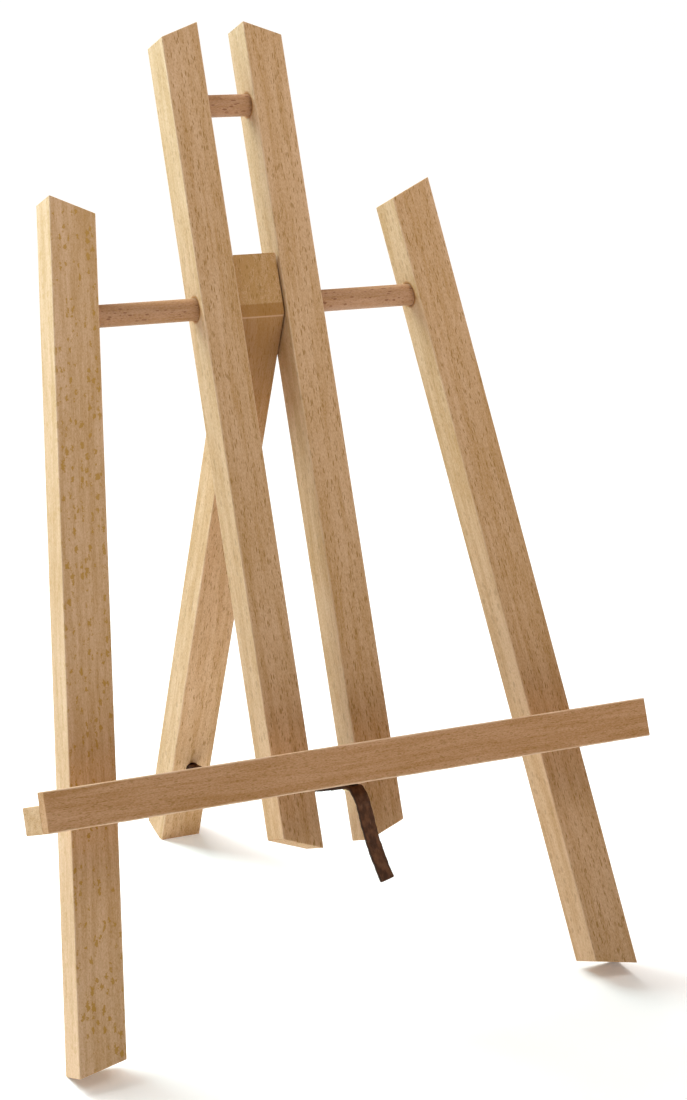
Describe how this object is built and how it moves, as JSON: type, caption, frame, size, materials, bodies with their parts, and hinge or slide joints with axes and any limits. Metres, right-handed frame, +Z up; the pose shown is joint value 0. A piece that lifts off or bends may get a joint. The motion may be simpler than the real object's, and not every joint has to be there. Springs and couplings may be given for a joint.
{
  "type": "tabletop easel",
  "caption": "Small wooden tabletop easel: two splayed legs and two masts carry a canvas ledge, and a hinged rear leg is held open by a leather strap.",
  "frame": {"origin": "on the table, under the middle of the open easel's own box", "axes": "+X to the right as a person faces the canvas, +Y to the back, towards the rear leg, +Z up"},
  "size_m": [0.316, 0.2564, 0.4524],
  "materials": {
    "beech_bar": "planed beech, unvarnished, with eased edges",
    "beech_ledge": "planed beech, unvarnished, grain along the ledge",
    "beech_dowel": "turned beech rod, grain along its length",
    "screw_steel": "zinc-plated steel",
    "leather": "dark brown leather lace with a smooth face and raw edges",
    "tack_brass": "domed brass-plated tack"
  },
  "bodies": {
    "frame": {"left_leg": "beech_bar", "right_leg": "beech_bar", "left_mast": "beech_bar", "right_mast": "beech_bar", "long_dowel": "beech_dowel", "top_dowel": "beech_dowel", "shelf": "beech_ledge", "lip": "beech_ledge", "shelf_screw_1": "screw_steel", "shelf_screw_2": "screw_steel", "shelf_screw_3": "screw_steel", "shelf_screw_4": "screw_steel", "strap_tack": "tack_brass", "strap": "leather", "strap_tail": "leather"},
    "rear_leg": {"rear_leg": "beech_bar", "strap_knot": "leather"}
  },
  "joints": [
    {"name": "rear_leg_fold", "type": "hinge", "parent": "frame", "child": "rear_leg", "pos_m": [0, 0.02996, 0.32086], "axis": [-1, 0, 0], "range_deg": [0, 40.4], "deforming": ["strap"]}
  ]
}
